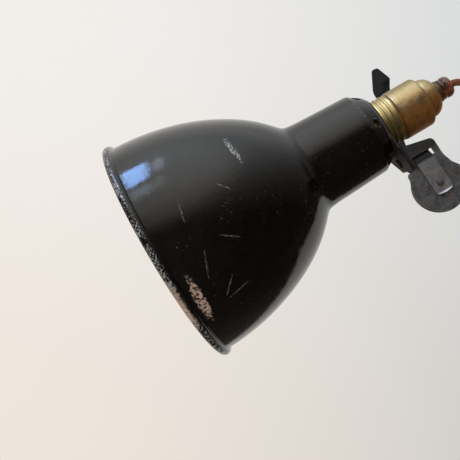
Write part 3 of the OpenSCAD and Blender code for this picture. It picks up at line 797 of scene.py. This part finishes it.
def make_shade(outside, inside):
    shade = spun("shade_shell", shade_profile(), 256, wobble=out_of_round)
    middle = (Vector(NECK_END) + Vector(TOP)) / 2
    slope = Vector(TOP) - Vector(NECK_END)
    out = Vector((-slope.y, slope.x)).normalized()
    holes = []
    for k in range(VENTS):
        turn = Matrix.Rotation(math.radians(VENT_TURN + 360 * k / VENTS), 4, "X")
        at = turn @ Vector((middle.x, -middle.y, 0))
        way = turn @ Vector((out.x, -out.y, 0))
        holes.append(cylinder(f"vent_{k}", at, way, VENT_R, 8))
    cut(shade, holes)
    smooth(shade, 28)
    finish_piece(shade, "lamp", "black_enamel", outside, "shade")
    shade.data.materials.append(inside)
    back = LAMP.inverted()
    along = back.to_3x3().inverted() @ Vector((1, 0, 0))
    for face in shade.data.polygons:
        x, y, z = back @ face.center
        inward = math.hypot(y, z) < shade_radius(min(x, NECK_END[0])) - 0.6 * SHADE_WALL
        facing_in = x < NECK_END[0] - 0.6 or face.normal.dot(along) < 0
        if 2 < x <= TOP[0] - 0.5 and inward:
            face.material_index = int(facing_in)
    return shade


# ---------------------------------------------------------------- lampholder
def make_lampholder(bright, patina_and_shade, grip):
    ring = [(157.5, 14), (157.5, 15.9), (158.3, 16.5), (159.6, 16.6), (160.2, 16.1)]
    for middle in (162, 165.7):
        ring += [(middle - 1.3, 16.0), *arc(middle, 15.4, 1.2, 147, 33, 8), (middle + 1.3, 16.0)]
    ring += [(168, 16.2), (168, 14)]
    upper = spun("shade_ring_beads", ring)
    finish_piece(upper, "lamp", "brass_bright", bright, "shade_ring_upper")
    cover = [(168, 14), (168, 16.0), (168.5, 16.2), (168.9, 16.1), (169.3, 16.45)]
    cover += arc(170.3, 15.7, 1, 155, 90, 4)
    cover += [(174, 16.72), (182, 16.68), (187.6, 16.62), *arc(188, 14.2, 2.4, 85, 15, 10), (190.5, 14.3)]
    cover += [(190.5, 12.4), (189.6, 12.4), (189.6, 14.2), (187.6, 15.8), (173, 15.8), (172, 14.7), (172, 14)]
    body = spun("cover_shell", cover)
    finish_piece(body, "lamp", "brass_aged", patina_and_shade, "holder_cover")
    dome = [(186, 11.5), (186, 12.4), (190.5, 12.4), (190.55, 12.9), (191.0, 13.2), (191.6, 13.3)]
    dome += [*arc(192.4, 5.4, 7.9, 88, 26, 14), (199.9, 8.2), (200.3, 7.3), (200.8, 7.2), (201.6, 7.3)]
    dome += [(202.4, 7.1), (203, 6.6), (203, 5.2), (198, 5.2), (197.6, 7.4), (192.4, 11.5)]
    cap = spun("dome_shell", dome)
    finish_piece(cap, "lamp", "brass_aged", patina_and_shade, "holder_dome")
    nut = [(197.8, 3.4), (197.8, 5.2), (203, 5.2), (203, 6.5)]
    nut += [*arc(204.0, 6.2, 0.7, 170, 20, 6), (205.1, 6.35)]
    nut += [(205.6, 6.4), (206.1, 6.9), (206.9, 7.1), *arc(208.0, 3.9, 3.2, 84, 8, 10), (211.4, 3.5)]
    nut += [(211.3, 2.9), (210, 2.4), (207, 2.4), (206, 3.4)]

    def fluted(x, r, angle):
        return r - 0.12 * max(0, math.cos(14 * angle)) ** 2 if r > 5.6 and 206 < x < 210.4 else r

    knob = spun("grip_knob", nut, 192, wobble=fluted)
    finish_piece(knob, "lamp", "grip_bakelite", grip, "cord_grip_nut")


# ---------------------------------------------------------------- bulb
BULB_R = 30.0
BULB_LEN = 80.0
CAP_X = 121.0


def make_bulb(glass, metal):
    centre = CAP_X + 4 - BULB_LEN + BULB_R
    outer = [(centre - BULB_R, 0.0), *arc(centre, 0, BULB_R, 177, 62, 40)]
    last = Vector(outer[-1])
    neck = Vector((CAP_X + 2, 13.6))
    for i in range(1, 21):
        t = i / 20
        outer.append((last.x + (neck.x - last.x) * t, last.y + (neck.y - last.y) * (1.7 * t - 0.7 * t**2.6)))
    outer += [(CAP_X + 3.4, 12.4), (CAP_X + 4.5, 11.2)]
    inner = [(x + 0.02, max(0.0, r - 0.7)) for x, r in outer[::-1]]
    inner[-1] = (outer[0][0] + 0.7, 0.0)
    bulb = spun("glass_envelope", outer + inner, 128)
    finish_piece(bulb, "bulb", "bulb_glass", glass, "bulb_glass")
    shell = [(CAP_X + 4.5, 10.2), (CAP_X + 4.2, 10.9), (CAP_X + 4.6, 11.2), (CAP_X + 5.4, 10.8), (127.2, 10.8)]
    shell += [(128, 11), (143.6, 11), *arc(144.3, 9.9, 1.1, 85, 5, 6), (145.5, 9.4), (144.5, 9.4), (144, 10.2)]
    cap = spun("cap_shell", shell, 128)
    finish_piece(cap, "bulb", "bulb_metal", metal, "bulb_cap")


def make_plunger_springs(material):
    """The springs behind the contact plungers, copied from their CAD nodes. The real springs shorten as the bulb
    is pushed in.
    """
    for name in ("plunger_spring_a", "plunger_spring_b"):
        node = frame["nodes"][name]
        coil = add_object(name + "_coil", node.data.copy())
        coil.matrix_world = node.matrix_world
        finish_piece(coil, "lamp", "plated_steel", material, name)
        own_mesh(coil)


# ---------------------------------------------------------------- clip
CLIP_X = 165.0
JAW_FACE = 19.0
PLATE = 1.5
GAP = 2.0
BEND = 1.75  # the bend's radius at the middle of the plate
CHEEK_X = 156.75
PIN_AT = Vector((2, -28))
SPRING_W = 11.2
SPRING_T = 0.8
RIVET_Z = -54.3
NO_CUTS = ((), ())


def near_jaw_sheets():
    """The cheek under the shade ring, the bend and the round jaw as one blank, and the second lug."""
    start = -(JAW_FACE - PLATE / 2 - BEND)
    turn = BEND * math.pi / 2
    bent_x = CHEEK_X + BEND

    def mapping(s, z):
        flat = Vector((bent_x + s - turn, -JAW_FACE + PLATE / 2, z))
        if s <= 0 or z > -21:
            bent = Vector((CHEEK_X, start - s, z))
        elif s < turn:
            a = s / BEND
            bent = Vector((bent_x - BEND * math.cos(a), start - BEND * math.sin(a), z))
        else:
            bent = flat
        t = max(0.0, min(1.0, (-38.6 - z) / 3.2))
        return bent.lerp(flat, t * t * (3 - 2 * t))

    def s_of(x):
        return x - bent_x + turn

    ring = circle(0, 0, 19.6, 40, 0, 214)
    outline = [Vector((start - p.x, p.y)) for p in ring]
    outline += rounded(
        [(0, -11.5, 0), (0.2, -22.5, 2.0), (s_of(162.6), -24.4, 6),
         (s_of(176.6), -27.6, 3.2), (s_of(176.3), -40, 12),
         (s_of(178.2), -46.5, 4), (s_of(181.2), -51, 0)]
    )
    outline += [Vector((s_of(p.x), p.y)) for p in circle(164.3, -55, 16.6, 56, 12, -196)]
    outline += rounded(
        [(s_of(148.2), -50, 0), (s_of(150.8), -43.5, 6), (s_of(150.6), -39.6, 2.2), (-1.5, -38.9, 0.8),
         (start + 12, -37.8, 0), (start - 6.8, -33.6, 2.5), (start - 20, -20.4, 3), (start - 19.6, -1, 0)]
    )
    bore = [Vector((start - p.x, p.y)) for p in circle(0, 0, 14.1, 48)]
    slot = rounded([(s_of(159), -32.6, 0.5), (s_of(172.6), -32.6, 0.5), (s_of(172.6), -36.7, 0.5),
                    (s_of(159), -36.7, 0.5)], closed=True, steps=3)
    cuts = [start - 19, -6, 0] + [turn * i / 6 for i in range(1, 7)] + [s_of(151 + 5 * i) for i in range(6)]
    lug_x = CLIP_X + 6.6 + PLATE / 2 + 0.15
    lug = [Vector((-17.5, -27.4)), Vector((-17.5, -31.4))]
    lug += circle(*PIN_AT, 3.8, 24, -100, 100)
    rows = [-21, -22.5, -38.6, -39.4, -40.2, -41, -41.8]
    sheet = ([outline, bore, slot], (cuts, rows), mapping)
    return [sheet, ([lug], NO_CUTS, lambda y, z: Vector((lug_x, y, z)))]


FAR_MID = -JAW_FACE + PLATE + GAP + PLATE / 2
FAR_PATH = rounded([(FAR_MID, -76, 0), (FAR_MID, -44, 6), (5, -33, 6), (22, -27.5, 8), (33, -17, 9), (36, 0, 20),
                    (38, 28, 16), (50, 52, 0)])


def far_jaw_sheets():
    """The lever: round jaw, kink to the hinge, hook round the lampholder and leaning finger tab."""
    at, lengths = along_path(FAR_PATH)
    heights = [p.y for p in FAR_PATH]

    def s_of(z):
        return float(np.interp(z, heights, lengths))

    def mapping(s, x):
        p = at(s)
        inward = min(37.2 - p.y, x - 182.4 - 0.6 * (p.y - 29))
        hollow = min(3.2, 0.75 * max(0, inward)) * max(0, min(1, (p.y - 22) / 5))
        return Vector((x, p.x + hollow, p.y))

    outline = rounded([(178, -44, 0), (172.4, -40, 6), (171.2, -24, 6), (181, 12, 12), (188.4, 27, 6),
                       (194.3, 37.5, 2.2), (193, 50.5, 1.8), (188.6, 51.4, 3), (177.6, 33, 12), (177.4, 25, 12),
                       (159, -19, 6), (158.8, -40, 6), (152, -44, 0)])
    disc = circle(CLIP_X - 0.7, -55, 16.6, 56, 141, 399)
    loop = [Vector((s_of(p.y), p.x)) for p in outline[1:-1] + disc]
    cheeks = []
    for x in (159.4, 170.6):
        corners = [Vector((-8, -38.2)), Vector((3.4, -32.8)), Vector((12, -30.1))]
        blank = [*corners, *circle(*PIN_AT, 3.8, 24, 35, 190)]
        cheeks.append(([blank], NO_CUTS, lambda y, z, x=x: Vector((x, y, z))))
    folds = [s_of(z) for z in range(22, 38)]
    return [([loop], (lengths[1:-1] + folds, range(180, 195)), mapping)] + cheeks


NEAR_LEG = -JAW_FACE - SPRING_T / 2 - 0.05
FAR_LEG = -JAW_FACE + 2 * PLATE + GAP + SPRING_T / 2 + 0.05
LOOP_TOP = -24.9


def spring_half(path, tip_s):
    """Half of the flat spring: its rounded tip is at tip_s along the path, and it runs on to the loop's top."""
    at, lengths = along_path(path)
    half = SPRING_W / 2
    end = lengths[-1] if tip_s == 0 else 0
    way = 1 if tip_s == 0 else -1
    tip = [(tip_s, half), (tip_s, -half)]
    side = [(end, -half), (end, half)]
    knots = [(tip[0][0] + way * 1.0, tip[0][1], 2.4), (tip_s, 0, 9), (tip[1][0] + way * 1.0, tip[1][1], 2.4),
             (*side[0], 0), (*side[1], 0)]
    outline = rounded(knots, closed=True, steps=6)

    def mapping(s, w):
        p = at(s)
        return Vector((CLIP_X + w, p.x, p.y))

    return [([outline], (lengths[1:-1], ()), mapping)]


def make_clip(steel, spring_steel, pin_steel):
    near = sheet_metal("near_jaw_plate", near_jaw_sheets(), PLATE, edge=0.35, segments=3)
    finish_piece(near, "lamp", "clip_steel", steel, "near_jaw")
    far = sheet_metal("far_jaw_lever", far_jaw_sheets(), PLATE, edge=0.35, segments=3)
    finish_piece(far, "lever", "clip_steel", steel, "far_jaw")
    near_path = rounded([(NEAR_LEG - 1.1, -61.2, 0), (NEAR_LEG - 0.75, -60.3, 0.5), (NEAR_LEG, -59.4, 0.8),
                         (NEAR_LEG, -36.4, 1.6), (-16.6, -32.8, 3), (-14.4, LOOP_TOP, 3.2), (-2, LOOP_TOP, 0)])
    far_path = rounded([(-2, LOOP_TOP, 0), (9, LOOP_TOP, 3), (12, -33.2, 3), (5.4, -35.8, 6), (FAR_LEG, -45, 5),
                        (FAR_LEG, -61, 0)])
    _, lengths = along_path(far_path)
    leg = sheet_metal("spring_near_leg", spring_half(near_path, 0), SPRING_T, edge=0.22, segments=3)
    finish_piece(leg, "lamp", "spring_steel", spring_steel, "clip_spring")
    back = sheet_metal("spring_far_leg", spring_half(far_path, lengths[-1]), SPRING_T, edge=0.22)
    back.data.materials.append(spring_steel)
    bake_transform(back)
    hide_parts("clip_spring")
    for name, y, way, body in (("near_rivet", -JAW_FACE - SPRING_T - 0.05, 1, "lamp"),
                               ("far_rivet", -JAW_FACE + 2 * PLATE + GAP + SPRING_T + 0.05, -1, "lever")):
        facing = Matrix.Rotation(math.radians(90 * way), 4, "Z")
        space = LAMP @ Matrix.Translation((CLIP_X, y, RIVET_Z)) @ facing
        head = [(-1.35, 0.0), (-1.33, 0.5), (-1.2, 1.1), (-0.95, 1.6), (-0.6, 2.0), (-0.25, 2.25), (0, 2.3)]
        head += [(0, 1.5), (SPRING_T + PLATE, 1.5), (SPRING_T + PLATE, 2.2), (SPRING_T + PLATE + 0.45, 2.0),
                 (SPRING_T + PLATE + 0.5, 0.0)]
        rivet = spun(name + "_head", head, 48, space)
        finish_piece(rivet, body, "clip_steel", pin_steel, name)


# ---------------------------------------------------------------- finishes of the CAD nodes shown as they are
def dress(slot_material):
    record_slots = {part["node"]: part["material_slot"] for part in frame["record"]["subparts"]}
    for name, node in frame["nodes"].items():
        if node.hide_render:
            continue
        node.data.shade_smooth()
        node.data.set_sharp_from_angle(angle=math.radians(30))
        material = slot_material[record_slots[name]]
        if not node.material_slots:
            node.data.materials.append(material)
        node.material_slots[0].material = material


# ---------------------------------------------------------------- stage
def wall_material():
    """A glowing wall with painted light: brighter on the left, and warmer towards the floor."""
    p = Paint("wall", Base_Color=(0, 0, 0), Roughness=1.0, Specular_IOR_Level=0.0, Emission_Strength=1.0)
    axes = p.node("SeparateXYZ", p.place)
    across = p.node("MapRange", axes.outputs[0], -0.83, 0.25, 0.0, 1.0).outputs[0]
    share = p.math("POWER", across, 1.8)
    rise = p.ramp(axes.outputs[2], -0.42, 0.72)
    # painted light: the glow falls from the left side to the right
    left = p.mix(rise, (0.863, 0.785, 0.715), (0.892, 0.862, 0.835))
    right = p.mix(rise, (0.655, 0.632, 0.598), (0.716, 0.732, 0.727))
    cloudy = p.mix(p.noise(p.place, 2.5, 2), (1, 1, 1), (0.985, 0.985, 0.985))
    shaded = p.node("Mix", 1.0, data_type="RGBA", blend_type="MULTIPLY")
    p.feed(shaded.inputs[6], p.mix(share, left, right))
    p.feed(shaded.inputs[7], cloudy)
    p.set(Emission_Color=shaded.outputs[2])
    return p.material


def quad(name, corners, material):
    bm = bmesh.new()
    bm.faces.new([bm.verts.new(c) for c in corners])
    made = from_bmesh(name, bm)
    made.data.materials.append(material)
    return made


def make_stage():
    wall = wall_material()
    floor_z = -0.62
    back_y = 1.15
    side = 1.8
    backdrop = quad("backdrop", [(-side, back_y, floor_z), (side, back_y, floor_z), (side, back_y, 3.2),
                                 (-side, back_y, 3.2)], wall)
    floor = quad("floor", [(-side, -2.6, floor_z), (side, -2.6, floor_z), (side, back_y, floor_z),
                           (-side, back_y, floor_z)], wall)
    floor.visible_glossy = False
    return backdrop, floor


def make_light():
    bpy.context.scene.view_settings.view_transform = "Standard"
    world = bpy.data.worlds.new("studio")
    bpy.context.scene.world = world
    world.use_nodes = True
    tree = world.node_tree
    background = next(n for n in tree.nodes if n.type == "BACKGROUND")

    def node(kind, *inputs, **settings):
        made = tree.nodes.new("ShaderNode" + kind)
        for key, value in settings.items():
            setattr(made, key, value)
        for i, value in enumerate(inputs):
            if isinstance(value, bpy.types.NodeSocket):
                tree.links.new(value, made.inputs[i])
            elif value is not None:
                made.inputs[i].default_value = value
        return made

    way = node("TexCoord").outputs["Generated"]
    height = node("SeparateXYZ", way).outputs[2]
    rise = node("MapRange", height, 0.05, 1.0, 0.10, 0.98, interpolation_type="SMOOTHSTEP").outputs[0]
    lobe = node("VectorMath", way, (-0.30, -0.62, 0.72), operation="DOT_PRODUCT").outputs["Value"]
    glow = node("MapRange", lobe, 0.62, 1.0, 0.0, 0.86, interpolation_type="SMOOTHSTEP").outputs[0]
    tint = node("Mix", height, data_type="RGBA")
    tint.inputs[6].default_value = (1.0, 0.86, 0.72, 1)
    tint.inputs[7].default_value = (0.95, 0.98, 1.0, 1)
    tree.links.new(tint.outputs[2], background.inputs["Color"])
    facing = node("SeparateXYZ", way).outputs[0]
    room = node("MapRange", facing, 0.15, 0.95, 1.0, 0.35, interpolation_type="SMOOTHSTEP").outputs[0]
    sky = node("Math", rise, glow, operation="ADD").outputs[0]
    tree.links.new(node("Math", sky, room, operation="MULTIPLY").outputs[0], background.inputs["Strength"])
    lit_at = Vector((-0.175, -0.05, -0.008))

    def window(name, way, long_way, size, radiance, colour, far=1.6):
        """A pane seen from the shade in the direction `way`, its longer side along long_way."""
        out = Vector(way).normalized()
        side = Vector(long_way).cross(out).normalized()
        data = bpy.data.lights.new(name, "AREA")
        data.shape = "RECTANGLE"
        data.size, data.size_y = size
        data.energy = radiance * math.pi * size[0] * size[1]
        data.color = colour
        pane = bpy.data.objects.new(name, data)
        bpy.context.collection.objects.link(pane)
        turn = Matrix((side, out.cross(side), out)).transposed().to_4x4()
        pane.matrix_world = Matrix.Translation(lit_at + out * far) @ turn

    down = (0.17, -0.95, -0.29)
    window("window", (-0.48, -0.34, 0.78), down, (0.31, 0.59), 9.6, (0.42, 0.78, 1.60))
    window("pane_beside", (-0.33, -0.31, 0.89), down, (0.10, 0.40), 2.4, (0.72, 0.88, 1.2))
    window("pane_below", (-0.39, -0.66, 0.63), down, (0.32, 0.28), 1.6, (0.68, 0.92, 1.2))
    window("pane_corner", (-0.25, -0.64, 0.73), down, (0.13, 0.30), 1.0, (0.8, 0.95, 1.0))


# ---------------------------------------------------------------- the scene
make_camera()
cord_piece, cord_line, cord_length = make_cord(braid())

bright_brass = brass("brass_bright", (0.64, 0.50, 0.23), (0.32, 0.18, 0.06), -17, -6)
aged_brass = brass("brass_aged", (0.50, 0.39, 0.20), (0.35, 0.15, 0.035), -8, 5, (0.36, 0.48), 199.4,
                   smudge=((185, -16.2, -2.8), 7.5, 4.2, 40, 2.4, 0.3, 1.0))
plate_steel = blackened_steel("clip_steel", (0.036, 0.037, 0.038), (0.118, 0.121, 0.121), 0.6)
strap_steel = blackened_steel("spring_steel", (0.10, 0.10, 0.096), (0.18, 0.18, 0.172), 0.1, lip=-60.4)
materials = {
    "black_enamel": enamel(),
    "brass_bright": bright_brass,
    "brass_aged": aged_brass,
    "porcelain": ceramic(),
    "plated_steel": plain_metal("plated_steel", (0.55, 0.55, 0.54)),
    "core_rubber": rubber(),
    "grip_bakelite": bakelite("grip_bakelite", (0.028, 0.011, 0.006), (0.27, 0.072, 0.028), 0.24),
    "bulb_glass": clear_glass(),
    "bulb_metal": plain_metal("bulb_metal", (0.62, 0.60, 0.55), 0.3),
    "vitrite": vitrite(),
    "clip_steel": plate_steel,
    "spring_steel": strap_steel,
    "cord_fabric": cord_piece.data.materials[0],
    "tie_leather": leather(),
    "plug_bakelite": bakelite("plug_bakelite", (0.03, 0.011, 0.006), (0.10, 0.038, 0.02)),
}
make_shade(materials["black_enamel"], inner_enamel())
make_lampholder(bright_brass, aged_brass, materials["grip_bakelite"])
make_bulb(pearl_glass(), materials["bulb_metal"])
make_plunger_springs(materials["plated_steel"])
make_clip(plate_steel, strap_steel, plate_steel)
dress(materials)
make_stage()
make_light()
